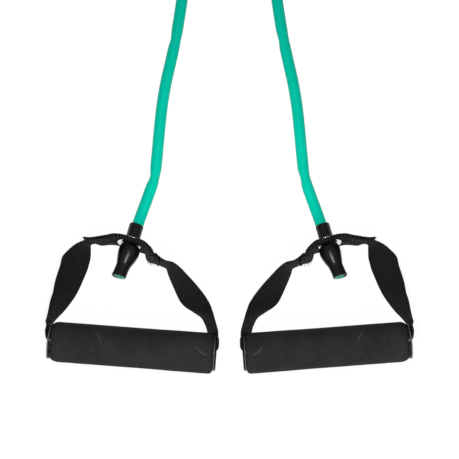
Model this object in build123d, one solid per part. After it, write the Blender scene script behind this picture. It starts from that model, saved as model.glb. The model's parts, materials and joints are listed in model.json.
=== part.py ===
from build123d import *
import math
import os

# A resistance band laid flat: two stirrup handles joined by one elastic tube.
# Millimetres. +Z is up from the surface that the band lies on. The band is
# symmetric about the plane x = 0, and +Y runs from the handles along the tube.
# The origin is under the middle of the two handles, without the tube.

# --- grip: foam on a plastic core, with a cap pressed into each end ---
GRIP_CENTRE = (-78.6, -40.3)  # of the left grip, seen from above
GRIP_TURN = -3.9  # degrees, the left grip's inner end lies lower
GRIP_LENGTH = 131.0
GRIP_RADIUS = 16.0
FOAM_OUTER_ROUNDING = (5.5, 3.2)  # along the grip, and in from its surface
FOAM_INNER_ROUNDING = (2.6, 2.6)
CORE_RADIUS = 12.5
CORE_BORE_RADIUS = 11.0
CORE_STAND_OUT = 0.6  # the core's ends stand this far out of the foam
CAP_RIM_RADIUS = 14.0
CAP_BORE_RADIUS = 10.0
CAP_SPIGOT_LENGTH = 14.0
CAP_RIM_THICKNESS = 1.7
CAP_DOME_HEIGHT = 3.0  # the rounded lip stands this far off the core's end
CAP_LIP_ROUNDING = 1.6

# --- webbing ---
STRAP_WIDTH = 25.0
STRAP_THICKNESS = 1.4
STRAP_FOLDS_ACROSS = 6  # flat facets across the width
HEAD_FLOOR_GAP = 0.6  # under the middle of the sewn head's lower edge
# How the strap curls into the bore of a cap, from the middle of the core
# outwards: (how far past the foam's end, how far in front of the grip's axis,
# half the curl in degrees, how far the strap's edges lead its middle outwards).
STRAP_CURL = [
    (-GRIP_LENGTH / 2, 9.0, 79.5, 0.0),
    (1.5, 9.0, 79.5, 0.0),
    (3.3, 9.6, 74.0, 1.3),
    (4.4, 11.0, 60.0, 1.2),
    (4.65, 13.4, 42.0, 1.0),
    (4.6, 16.2, 22.0, 0.6),
]
# The legs, from the sewn head down to the caps, in the grip's own frame:
# (upper edge x, y, lower edge x, y, height of the lower edge). The strap stands
# on edge at both ends of a leg, and its upper edge flops outwards in between.
OUTER_LEG = [
    (-33.4, 86.6, -33.2, 82.3, 0.4),
    (-38.0, 86.3, -37.4, 83.0, 0.3),
    (-44.2, 84.9, -39.6, 80.2, 0.4),
    (-50.5, 80.6, -39.0, 76.2, 0.6),
    (-56.6, 74.8, -38.6, 71.2, 0.8),
    (-60.6, 69.0, -39.0, 66.0, 0.9),
    (-62.2, 62.5, -40.4, 60.0, 0.9),
    (-64.0, 55.5, -42.8, 52.6, 0.9),
    (-65.4, 48.0, -45.6, 45.0, 0.9),
    (-66.4, 40.5, -49.0, 38.2, 0.9),
    (-68.0, 33.5, -53.0, 31.6, 0.9),
    (-69.3, 26.0, -58.0, 24.8, 1.2),
    (-70.1, 20.5, -64.2, 19.6, 2.2),
]
INNER_LEG = [
    (17.2, 74.4, 15.6, 68.6, 0.4),
    (22.0, 72.2, 19.6, 67.4, 0.3),
    (28.4, 70.6, 23.4, 65.2, 0.4),
    (34.6, 66.4, 25.2, 60.8, 0.6),
    (40.0, 61.6, 27.4, 55.6, 0.7),
    (45.2, 56.6, 30.6, 50.0, 0.8),
    (50.3, 51.4, 34.0, 44.0, 0.9),
    (55.3, 45.8, 37.6, 38.8, 0.9),
    (59.6, 39.8, 41.8, 35.2, 0.9),
    (62.6, 33.4, 46.8, 32.2, 0.9),
    (65.0, 27.4, 51.8, 28.8, 0.9),
    (67.0, 22.4, 56.4, 25.2, 1.0),
    (68.8, 18.6, 60.4, 21.2, 1.5),
    (69.8, 16.4, 63.8, 18.4, 2.4),
]
# The sewn head, left to right in the grip's own frame: (x, y, lean from
# upright in degrees) of its middle. It is flat where the eyelet clamps it.
# The loop folds about the line through the two places where its legs start.
HEAD_LEAN = 20.0
EYELET_CENTRE = (-6.2, 84.3)
HEAD_TURN = -15.2  # degrees, direction of the head where the eyelet is
HEAD_FLAT_HALF = 11.2
FOLD_POINT = (-6.2, 76.9)
FOLD_TURN = -12.8
HEAD_LEFT = [(-31.6, 85.0, 12.0), (-25.6, 86.0, 15.0), (-20.6, 87.2, 18.0)]
HEAD_RIGHT = [(7.8, 78.0, 17.0), (11.2, 74.6, 14.0), (14.2, 72.6, 13.0)]
STITCH_ROWS_LEFT = (-29.5, -26.5)
STITCH_ROWS_RIGHT = (8.6, 12.0)
STITCHES_IN_ROW = 7
STITCH_LENGTH = 2.2
STITCH_WIDTH = 0.6
STITCH_STAND_OUT = 0.3

# --- eyelet through the head, and the washer behind it ---
EYELET_BORE_RADIUS = 6.0
EYELET_BARREL_RADIUS = 6.6
EYELET_FLANGE_RADIUS = 10.8
EYELET_FLANGE_HEIGHT = 1.0
EYELET_CURL_RADIUS = 8.2
WASHER_THICKNESS = 0.5

# --- tube, and the sleeve that covers its end ---
TUBE_RADIUS = 4.5
TUBE_BORE_RADIUS = 2.5
COLLAR_RADIUS = 5.4
# Stations are along the sleeve's axis from the eyelet's centre, positive
# towards the tube: (station, outer radius of the sleeve).
SLEEVE_TOP = 15.5
SLEEVE_END = -31.0
SLEEVE_OUTLINE = [(-2.9, 5.4), (-3.4, 6.9), (-5.0, 8.35), (-9.0, 8.2), (-13.5, 7.35)]
SLEEVE_NECK = [(-19.0, 5.75), (-24.0, 5.45), (-31.0, 5.7)]
# (station, outer radius of the tube end = inner radius of the sleeve)
TUBE_END_OUTLINE = [(-1.0, 4.5), (-6.5, 7.2), (-12.5, 6.9), (-18.5, 4.6), (-31.0, 4.6)]
# (station, bore of the tube end = radius of the stopper)
STOPPER_OUTLINE = [(-3.0, 2.5), (-7.0, 5.3), (-12.0, 5.1), (-17.5, 2.6)]
TUBE_END_JOINT = 7.5  # station where the tube end meets the free tube

# --- free tube: hand-chosen points from inside the left collar to the coil ---
LEFT_ROUTE = [
    (-76.75, 50.89, 9.78),
    (-71.99, 64.61, 4.5),
    (-66.4, 79.7, 4.5),
    (-60.3, 96.7, 4.5),
    (-58.6, 113.2, 4.5),
    (-56.9, 131.7, 4.5),
    (-54.9, 152.2, 4.5),
    (-51.6, 172.7, 4.5),
    (-47.2, 191.2, 4.5),
    (-43.5, 208.2, 4.5),
    (-40.7, 224.7, 4.5),
    (-38.2, 241.2, 4.5),
    (-36.7, 256.2, 4.5),
    (-37.4, 271.2, 4.5),
    (-40.4, 285.7, 4.5),
    (-44.8, 299.7, 4.5),
]
# The right run mirrors the left one up to here, then climbs over the coil.
SHARED_POINTS = 12
RIGHT_ROUTE_END = [
    (36.7, 256.2, 4.8),
    (37.6, 270.7, 7.4),
    (40.6, 285.2, 12.2),
    (44.0, 299.7, 14.2),
]
ROUNDING_SHARE = 0.45  # of the shorter run, at each bend of the route

# --- coil of the tube's middle: one closed solid of its outer shape ---
COIL_CENTRE = (0.0, 321.7)
COIL_OUTER_RADIUS = 54.3
COIL_INNER_RADIUS = 35.8
COIL_HEIGHT = 17.0
COIL_ROUNDING = 4.0


def revolve_outline(points):
    """A solid turned about +X from a closed outline of (x, radius) points."""
    outline = Polyline(*[(x, r) for x, r in points], close=True)
    return revolve(make_face(outline), Axis.X)


def foam_grip():
    """A tube of foam, more rounded at its outer end than at its inner one."""
    half = GRIP_LENGTH / 2
    long, deep = FOAM_OUTER_ROUNDING
    short, shallow = FOAM_INNER_ROUNDING
    outline = [
        Polyline(
            (half, GRIP_RADIUS - shallow),
            (half, CORE_RADIUS),
            (-half, CORE_RADIUS),
            (-half, GRIP_RADIUS - deep),
        ),
        EllipticalCenterArc(
            (-half + long, GRIP_RADIUS - deep), long, deep, start_angle=90, arc_size=90
        ),
        Line((-half + long, GRIP_RADIUS), (half - short, GRIP_RADIUS)),
        EllipticalCenterArc(
            (half - short, GRIP_RADIUS - shallow), short, shallow, start_angle=0, arc_size=90
        ),
    ]
    return revolve(make_face(Curve() + outline), Axis.X)


def grip_core():
    """The plastic tube that the foam is pulled over."""
    half = GRIP_LENGTH / 2 + CORE_STAND_OUT
    return revolve_outline(
        [(-half, CORE_BORE_RADIUS), (-half, CORE_RADIUS), (half, CORE_RADIUS), (half, CORE_BORE_RADIUS)]
    )


def end_cap():
    """A flanged bush with a domed lip, made for the grip's inner end (+X)."""
    seat = GRIP_LENGTH / 2 + CORE_STAND_OUT
    lip = seat + CAP_DOME_HEIGHT
    rim = seat + CAP_RIM_THICKNESS
    crown = CAP_BORE_RADIUS + CAP_LIP_ROUNDING
    spigot = seat - CAP_SPIGOT_LENGTH
    mid_dome = ((lip * 2 + rim) / 3 + 0.25, (crown + CAP_RIM_RADIUS) / 2)
    outline = [
        Polyline(
            (lip - CAP_LIP_ROUNDING, CAP_BORE_RADIUS),
            (spigot, CAP_BORE_RADIUS),
            (spigot, CORE_BORE_RADIUS),
            (seat, CORE_BORE_RADIUS),
            (seat, CAP_RIM_RADIUS - 0.5),
            (seat + 0.5, CAP_RIM_RADIUS),
            (rim - 0.5, CAP_RIM_RADIUS),
        ),
        ThreePointArc((rim - 0.5, CAP_RIM_RADIUS), mid_dome, (lip, crown)),
        RadiusArc((lip, crown), (lip - CAP_LIP_ROUNDING, CAP_BORE_RADIUS), CAP_LIP_ROUNDING),
    ]
    return revolve(make_face(Curve() + outline), Axis.X)


def flat_row(upper_x, upper_y, lower_x, lower_y, lower_z):
    """Points across the strap where it is flat, lower edge first."""
    plan = math.hypot(upper_x - lower_x, upper_y - lower_y)
    rise = math.sqrt(STRAP_WIDTH**2 - plan**2)
    lower = Vector(lower_x, lower_y, lower_z)
    upper = Vector(upper_x, upper_y, lower_z + rise)
    steps = range(STRAP_FOLDS_ACROSS + 1)
    return [lower + (upper - lower) * (i / STRAP_FOLDS_ACROSS) for i in steps]


def curled_row(end, past, front, half_curl, lead):
    """Points across the strap where it is curled into a cap's bore.

    end is -1 at the grip's outer end and 1 at its inner end.
    """
    curl = math.radians(half_curl)
    radius = STRAP_WIDTH / 2 / curl
    depth = radius * (1 - math.cos(curl))
    row = []
    for i in range(STRAP_FOLDS_ACROSS + 1):
        angle = curl * (2 * i / STRAP_FOLDS_ACROSS - 1)
        drop = radius * (1 - math.cos(angle))
        out = GRIP_LENGTH / 2 + past + lead * drop / depth
        row.append(Vector(end * out, front - drop, GRIP_RADIUS + radius * math.sin(angle)))
    return row


def head_row(x, y, lean, turn):
    """Points across the sewn head, where it stands nearly upright."""
    lean_angle = math.radians(lean)
    turn_angle = math.radians(turn)
    back = Vector(-math.sin(turn_angle), math.cos(turn_angle), 0) * math.sin(lean_angle)
    across = back + Vector(0, 0, math.cos(lean_angle))
    middle = Vector(x, y, STRAP_WIDTH / 2 * math.cos(lean_angle) + HEAD_FLOOR_GAP)
    return [middle - across * (STRAP_WIDTH / 2), middle + across * (STRAP_WIDTH / 2)]


def row_normals(rows):
    """The strap's unit normal at each point of its rows."""
    normals = []
    for i, row in enumerate(rows):
        before = rows[max(i - 1, 0)]
        after = rows[min(i + 1, len(rows) - 1)]
        line = []
        for j in range(len(row)):
            along = after[j] - before[j]
            across = row[min(j + 1, len(row) - 1)] - row[max(j - 1, 0)]
            line.append(along.cross(across).normalized())
        normals.append(line)
    return normals


def triangles(a, b, c, d):
    """Two flat faces for a four-cornered patch."""
    return [Face(Wire.make_polygon([a, b, c])), Face(Wire.make_polygon([a, c, d]))]


def ribbon(rows, thickness):
    """A closed solid of flat facets around rows of points across a strap."""
    normals = row_normals(rows)
    rings = []
    for row, line in zip(rows, normals):
        front = [p + n * (thickness / 2) for p, n in zip(row, line)]
        back = [p - n * (thickness / 2) for p, n in zip(row, line)]
        rings.append(front + back[::-1])
    faces = []
    size = len(rings[0])
    for ring, after in zip(rings, rings[1:]):
        for j in range(size):
            k = (j + 1) % size
            faces += triangles(ring[j], ring[k], after[k], after[j])
    for ring in (rings[0], rings[-1]):
        for j in range(size // 2 - 1):
            faces += triangles(ring[j], ring[j + 1], ring[size - 2 - j], ring[size - 1 - j])
    return Solid(Shell(faces))


def strap_loop():
    """One leg, the curled run through the core, and the other leg."""
    outer = [flat_row(*station) for station in OUTER_LEG]
    inner = [flat_row(*station) for station in reversed(INNER_LEG)]
    into_core = [curled_row(-1, *station) for station in reversed(STRAP_CURL)]
    out_of_core = [curled_row(1, *station) for station in STRAP_CURL[1:]]
    return ribbon(outer + into_core + out_of_core + inner, STRAP_THICKNESS)


def head_frame():
    """Plane at the eyelet: X along the head, Z along the sleeve to the tube."""
    lean = math.radians(HEAD_LEAN)
    turn = math.radians(HEAD_TURN)
    along = Vector(math.cos(turn), math.sin(turn), 0)
    to_tube = Vector(-math.sin(turn), math.cos(turn), 0) * math.cos(lean)
    to_tube = to_tube - Vector(0, 0, math.sin(lean))
    height = STRAP_WIDTH / 2 * math.cos(lean) + HEAD_FLOOR_GAP
    return Plane(origin=(*EYELET_CENTRE, height), x_dir=along, z_dir=to_tube)


def head_stations():
    """(x, y, lean) of the head from left to right, with its flat middle."""
    turn = math.radians(HEAD_TURN)
    dx = HEAD_FLAT_HALF * math.cos(turn)
    dy = HEAD_FLAT_HALF * math.sin(turn)
    x, y = EYELET_CENTRE
    flat = [(x - dx, y - dy, HEAD_LEAN), (x + dx, y + dy, HEAD_LEAN)]
    return HEAD_LEFT + flat + HEAD_RIGHT


def head_turns(stations):
    """The head's direction in degrees at each station."""
    turns = []
    last = len(stations) - 1
    for i in range(last + 1):
        x0, y0, _ = stations[max(i - 1, 0)]
        x1, y1, _ = stations[min(i + 1, last)]
        turns.append(math.degrees(math.atan2(y1 - y0, x1 - x0)))
    flat_start = len(HEAD_LEFT)
    turns[flat_start] = HEAD_TURN
    turns[flat_start + 1] = HEAD_TURN
    return turns


def strap_head():
    """Both layers of the strap, sewn together, with the eyelet's hole."""
    stations = head_stations()
    turns = head_turns(stations)
    rows = [head_row(x, y, lean, turn) for (x, y, lean), turn in zip(stations, turns)]
    solid = ribbon(rows, 2 * STRAP_THICKNESS)
    hole = Cylinder(EYELET_BARREL_RADIUS, 6 * STRAP_THICKNESS)
    return solid - head_frame() * hole


def stitching():
    """Bar tacks through both layers at each end of the overlap."""
    stations = head_stations()
    turns = head_turns(stations)
    stitches = []
    for column in STITCH_ROWS_LEFT + STITCH_ROWS_RIGHT:
        for (x0, y0, lean0), (x1, y1, lean1), turn in zip(stations, stations[1:], turns[1:]):
            if x0 <= column < x1:
                share = (column - x0) / (x1 - x0)
                y = y0 + (y1 - y0) * share
                lean = lean0 + (lean1 - lean0) * share
                heading = math.degrees(math.atan2(y1 - y0, x1 - x0))
                stitches += stitch_row(head_row(column, y, lean, heading), heading)
    return Compound(stitches)


def stitch_row(row, heading):
    """One row of stitches across the strap, each a short bar through it."""
    lower, upper = row
    across = (upper - lower).normalized()
    along = Vector(math.cos(math.radians(heading)), math.sin(math.radians(heading)), 0)
    through = 2 * (STRAP_THICKNESS + STITCH_STAND_OUT)
    bars = []
    for i in range(STITCHES_IN_ROW):
        centre = lower + (upper - lower) * ((i + 0.5) / STITCHES_IN_ROW)
        place = Plane(origin=centre, x_dir=across, z_dir=along.cross(across))
        bars.append(place * Box(STITCH_LENGTH, STITCH_WIDTH, through))
    return bars


def turned_about_z(points):
    """A solid turned about +Z from a closed outline of (station, radius)."""
    outline = Polyline(*[(r, 0, s) for s, r in points], close=True)
    return revolve(make_face(outline), Axis.Z)


def eyelet():
    """The eyelet's barrel, its domed flange, and the curled end."""
    face = -STRAP_THICKNESS
    back = STRAP_THICKNESS + WASHER_THICKNESS
    middle = (EYELET_BORE_RADIUS + EYELET_FLANGE_RADIUS) / 2
    return turned_about_z(
        [
            (face, EYELET_BARREL_RADIUS),
            (face, EYELET_FLANGE_RADIUS),
            (face - 0.45, EYELET_FLANGE_RADIUS - 0.15),
            (face - EYELET_FLANGE_HEIGHT, middle + 0.8),
            (face - EYELET_FLANGE_HEIGHT, middle - 0.6),
            (face - 0.3, EYELET_BORE_RADIUS),
            (back + 0.2, EYELET_BORE_RADIUS),
            (back + 0.8, EYELET_BORE_RADIUS + 0.8),
            (back + 0.6, EYELET_CURL_RADIUS - 0.4),
            (back, EYELET_CURL_RADIUS),
            (back, EYELET_BARREL_RADIUS),
        ]
    )


def eyelet_washer():
    """The flat washer that the eyelet is curled over."""
    near = STRAP_THICKNESS
    far = near + WASHER_THICKNESS
    outer = EYELET_FLANGE_RADIUS
    return turned_about_z(
        [(near, EYELET_BARREL_RADIUS), (near, outer), (far, outer), (far, EYELET_BARREL_RADIUS)]
    )


def plug_sleeve():
    """The moulded cover: a collar, a bottle-shaped shoulder and a neck."""
    outside = [(SLEEVE_TOP, COLLAR_RADIUS)] + SLEEVE_OUTLINE + SLEEVE_NECK
    inside = [(SLEEVE_TOP, TUBE_RADIUS)] + TUBE_END_OUTLINE
    return turned_about_z(outside + inside[::-1])


def tube_end():
    """The end of the tube, spread over the stopper inside the sleeve."""
    outside = [(TUBE_END_JOINT, TUBE_RADIUS)] + TUBE_END_OUTLINE
    inside = [(TUBE_END_JOINT, TUBE_BORE_RADIUS)] + STOPPER_OUTLINE
    inside.append((SLEEVE_END, STOPPER_OUTLINE[-1][1]))
    return turned_about_z(outside + inside[::-1])


def stopper_bead():
    """The plug that keeps the tube end from slipping out of the sleeve."""
    first, last = STOPPER_OUTLINE[0][0], STOPPER_OUTLINE[-1][0]
    return turned_about_z([(first, 0)] + STOPPER_OUTLINE + [(last, 0)])


def bend_radii(points):
    """The radius of each bend of a route, from its runs and its turn."""
    corners = [Vector(*p) for p in points]
    radii = []
    for before, here, after in zip(corners, corners[1:], corners[2:]):
        first, second = here - before, after - here
        turn = math.radians(first.get_angle(second))
        radii.append(ROUNDING_SHARE * min(first.length, second.length) / math.tan(turn / 2))
    return radii


def tube_lead(name, points):
    """The free tube from inside a collar to the coil, as a hollow sweep."""
    radii = bend_radii(points)
    path = FilletPolyline(*points, radius=radii)
    start = Plane(origin=path @ 0, z_dir=path % 0)
    section = start * (Circle(TUBE_RADIUS) - Circle(TUBE_BORE_RADIUS))
    lead = sweep(section, path=path)
    area = math.pi * (TUBE_RADIUS**2 - TUBE_BORE_RADIUS**2)
    print(name, "length", round(path.length, 1), "smallest radius", round(min(radii), 1))
    print(name, "volume over section times length", round(lead.volume / (area * path.length), 4))
    return lead


def tube_coil():
    """The closed outer shape of the coiled middle of the tube."""
    ring = Cylinder(COIL_OUTER_RADIUS, COIL_HEIGHT) - Cylinder(COIL_INNER_RADIUS, COIL_HEIGHT)
    ring = fillet(ring.edges().filter_by(GeomType.CIRCLE), COIL_ROUNDING)
    return Pos(*COIL_CENTRE, COIL_HEIGHT / 2) * ring


def handle():
    """Every piece of the left handle by name, in the grip's own frame."""
    on_axis = Pos(0, 0, GRIP_RADIUS)
    cap = end_cap()
    at_head = head_frame()
    return {
        "foam_grip": on_axis * foam_grip(),
        "grip_core": on_axis * grip_core(),
        "outer_end_cap": on_axis * Rot(0, 0, 180) * cap,
        "inner_end_cap": on_axis * cap,
        "strap_loop": strap_loop(),
        "strap_head": strap_head(),
        "stitching": stitching(),
        "eyelet": at_head * eyelet(),
        "eyelet_washer": at_head * eyelet_washer(),
        "plug_sleeve": at_head * plug_sleeve(),
        "tube_end": at_head * tube_end(),
        "stopper_bead": at_head * stopper_bead(),
    }


def main():
    os.makedirs("parts", exist_ok=True)
    nodes = {}
    place = Pos(*GRIP_CENTRE, 0) * Rot(0, 0, GRIP_TURN)
    for name, piece in handle().items():
        left = place * piece
        nodes["left_" + name] = left
        nodes["right_" + name] = mirror(left, about=Plane.YZ)
    right_route = [(-x, y, z) for x, y, z in LEFT_ROUTE[:SHARED_POINTS]] + RIGHT_ROUTE_END
    nodes["tube_lead_left"] = tube_lead("left lead", LEFT_ROUTE)
    nodes["tube_lead_right"] = tube_lead("right lead", right_route)
    nodes["tube_coil"] = tube_coil()
    for name, piece in nodes.items():
        export_step(piece, f"parts/{name}.step")
    print_frame(nodes)


def print_frame(nodes):
    """Prints the box of the handles and the places of the joints."""
    handles = [piece for name, piece in nodes.items() if not name.startswith("tube_")]
    box = Compound([solid for piece in handles for solid in piece.solids()]).bounding_box()
    print("handles", box.min, box.max)
    place = Pos(*GRIP_CENTRE, 0) * Rot(0, 0, GRIP_TURN)
    sleeve = Plane(place * Location(head_frame()))
    print("eyelet centre", sleeve.origin, "sleeve axis", sleeve.z_dir)
    fold = Plane(place * Pos(*FOLD_POINT, 0) * Rot(0, 0, FOLD_TURN))
    print("fold point", fold.origin, "fold line", fold.x_dir)
    print("grip axis", Plane(place).x_dir)


main()
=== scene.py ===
"""A resistance band laid flat: two foam-grip stirrup handles joined by an elastic tube.

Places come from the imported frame. Shapes are in millimetres, in the left grip's own
frame (X along the grip to its inner end, Y towards the tube, Z up) or, for what turns
about the plug, as (station along the plug's axis towards the tube, radius) outlines.
The right handle is the left one mirrored in x = 0.
"""
import json
import math
import random

import bpy
import numpy as np
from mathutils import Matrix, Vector, noise


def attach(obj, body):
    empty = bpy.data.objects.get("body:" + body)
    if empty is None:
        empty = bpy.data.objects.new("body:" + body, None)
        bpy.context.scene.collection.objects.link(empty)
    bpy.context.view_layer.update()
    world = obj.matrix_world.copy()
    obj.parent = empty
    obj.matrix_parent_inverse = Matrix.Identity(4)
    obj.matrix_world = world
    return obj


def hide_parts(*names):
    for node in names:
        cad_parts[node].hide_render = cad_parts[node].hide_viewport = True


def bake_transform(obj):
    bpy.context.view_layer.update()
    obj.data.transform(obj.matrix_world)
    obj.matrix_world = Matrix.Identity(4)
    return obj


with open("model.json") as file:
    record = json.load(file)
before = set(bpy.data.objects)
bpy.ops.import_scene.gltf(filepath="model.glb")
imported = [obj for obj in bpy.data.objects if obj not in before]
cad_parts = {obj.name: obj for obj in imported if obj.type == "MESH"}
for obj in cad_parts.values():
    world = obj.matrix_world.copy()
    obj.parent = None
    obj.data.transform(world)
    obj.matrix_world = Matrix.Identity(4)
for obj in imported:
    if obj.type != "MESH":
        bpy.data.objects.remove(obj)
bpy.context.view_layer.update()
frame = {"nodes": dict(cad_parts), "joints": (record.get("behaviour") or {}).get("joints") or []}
joints = {joint["name"]: joint for joint in frame["joints"]}

MM = 0.001
SIDES = ("left", "right")

# --- sizes that the design fixes ---
GRIP_LENGTH = 131.0
GRIP_RADIUS = 16.0
FOAM_RADIUS = 16.25  # the foam is a little fuller than its collision shape
CORE_RADIUS = 12.5
CORE_STAND_OUT = 0.6
STRAP_WIDTH = 25.0
STRAP_THICKNESS = 1.4
HEAD_FLOOR_GAP = 0.6
HEAD_LEAN = 18.5
HEAD_TURN = -13.5
HEAD_FLAT_HALF = 10.0
HEAD_CENTRE = (-6.2, 83.6)  # of the webbing at the eyelet
EYELET_LIFT = (6.0, 3.0)  # degrees that the eyelet lifts off the webbing, and sinks into it
EYELET_SLIP = 0.1  # how far it sits off the plug's axis, along the webbing
EYELET_DROP = 0.35  # and towards the floor
EYELET_BORE_RADIUS = 6.0
EYELET_FLANGE_RADIUS = 10.8
TUBE_RADIUS = 4.5
COLLAR_MOUTH = 15.5  # station where the tube leaves the collar


# --- frames ---

def grip_frame():
    """Origin and axes of the left grip's own frame, with its origin on the floor."""
    spin = joints["left_grip_spin"]
    origin = np.array(spin["pos_m"])
    origin[2] = 0.0
    along = np.array(spin["axis"])
    return origin, np.array([along, [-along[1], along[0], 0.0], [0.0, 0.0, 1.0]])


def plug_frame():
    """Origin and axes of the left plug: across the head, its normal, and its axis."""
    swivel = joints["left_swivel"]
    axis = np.array(swivel["axis"])
    across = np.array([axis[1], -axis[0], 0.0])
    across /= np.linalg.norm(across)
    return np.array(swivel["pos_m"]), np.array([across, np.cross(axis, across), axis])


GRIP_ORIGIN, GRIP_AXES = grip_frame()
PLUG_ORIGIN, PLUG_AXES = plug_frame()


def from_grip(points):
    """Points of the left handle, from the grip's frame in mm to the world in m."""
    return GRIP_ORIGIN + np.asarray(points, float) * MM @ GRIP_AXES


def from_plug(points):
    """Points about the left plug, from its frame in mm to the world in m."""
    return PLUG_ORIGIN + np.asarray(points, float) * MM @ PLUG_AXES


# --- mesh helpers ---

def add_object(name, data):
    """A new object in the scene."""
    made = bpy.data.objects.new(name, data)
    bpy.context.scene.collection.objects.link(made)
    return made


def new_mesh(name, points, faces, sharp_angle=40.0):
    """A mesh object from world points in metres, smooth up to the sharp angle."""
    mesh = bpy.data.meshes.new(name)
    mesh.from_pydata([tuple(p) for p in points], [], faces)
    mesh.validate()
    mesh.shade_smooth()
    mesh.set_sharp_from_angle(angle=math.radians(sharp_angle))
    return add_object(name, mesh)


def on_side(side, name, points, faces, sharp_angle=40.0):
    """The piece on the left, or its mirror image on the right."""
    points = np.array(points)
    if side == "right":
        points = points * [-1.0, 1.0, 1.0]
        faces = [face[::-1] for face in faces]
    return new_mesh(f"{side}_{name}", points, faces, sharp_angle)


def ring_faces(rows, columns, close_rows=False):
    """Quads between rings of points that are closed round, row after row."""
    faces = []
    for i in range(rows if close_rows else rows - 1):
        a, b = i * columns, (i + 1) % rows * columns
        for j in range(columns):
            k = (j + 1) % columns
            faces.append((a + j, a + k, b + k, b + j))
    return faces


def capped_rings(rows, columns):
    """The same, with a face over each end."""
    faces = ring_faces(rows, columns)
    faces.append(tuple(range(columns))[::-1])
    faces.append(tuple(range((rows - 1) * columns, rows * columns)))
    return faces


def turned(outline, segments):
    """(points, faces) of a closed outline of (station, radius) turned about local Z."""
    angles = np.arange(segments) * (2 * math.pi / segments)
    outline = np.asarray(outline, float)
    points = [
        (radius * math.cos(angle), radius * math.sin(angle), station)
        for station, radius in outline
        for angle in angles
    ]
    after = np.roll(outline, -1, axis=0)
    area = np.sum(outline[:, 0] * after[:, 1] - after[:, 0] * outline[:, 1])
    faces = ring_faces(len(outline), segments, close_rows=True)
    if area > 0:
        faces = [face[::-1] for face in faces]
    return np.array(points), faces


def softened(corners, steps=4):
    """A closed outline whose corners (station, radius, rounding) are rounded off."""
    outline = []
    count = len(corners)
    for i, (x, y, rounding) in enumerate(corners):
        here = np.array([x, y])
        if rounding <= 0:
            outline.append(here)
            continue
        ends = []
        for other in (corners[i - 1], corners[(i + 1) % count]):
            way = np.array(other[:2]) - here
            ends.append(here + way * min(rounding / np.linalg.norm(way), 0.49))
        for step in range(steps + 1):
            t = step / steps
            outline.append((1 - t) ** 2 * ends[0] + 2 * t * (1 - t) * here + t * t * ends[1])
    return outline


def smooth_step(value, low, high):
    """0 below low, 1 above high, and smooth in between."""
    t = np.clip((value - low) / (high - low), 0.0, 1.0)
    return t * t * (3 - 2 * t)


def through(points, knots, at):
    """A smooth curve through points (first axis) at rising knots, read at other knots."""
    points = np.asarray(points, float)
    knots = np.asarray(knots, float)
    steps = np.diff(knots)
    slopes = np.diff(points, axis=0) / steps.reshape(-1, *[1] * (points.ndim - 1))
    tangents = np.empty_like(points)
    tangents[0], tangents[-1] = slopes[0], slopes[-1]
    for i in range(1, len(knots) - 1):
        share = steps[i - 1] / (steps[i - 1] + steps[i])
        tangents[i] = slopes[i - 1] * (1 - share) + slopes[i] * share
    made = []
    for value in at:
        i = int(np.clip(np.searchsorted(knots, value, side="right") - 1, 0, len(steps) - 1))
        h = steps[i]
        t = (value - knots[i]) / h
        made.append(
            (2 * t**3 - 3 * t**2 + 1) * points[i]
            + (t**3 - 2 * t**2 + t) * h * tangents[i]
            + (3 * t**2 - 2 * t**3) * points[i + 1]
            + (t**3 - t**2) * h * tangents[i + 1]
        )
    return np.array(made)


def spread_out(outline, spacing):
    """An open outline of (station, radius) as a smooth curve with even points."""
    outline = np.asarray(outline, float)
    knots = np.concatenate([[0], np.cumsum(np.linalg.norm(np.diff(outline, axis=0), axis=1))])
    return through(outline, knots, np.linspace(0, knots[-1], int(knots[-1] / spacing) + 2))


# --- materials ---

def set_range(node, *numbers):
    """Sets what a Map Range node reads from (low, high) and makes of it (low, high)."""
    for name, number in zip(("From Min", "From Max", "To Min", "To Max"), numbers):
        node.inputs[name].default_value = number


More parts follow.
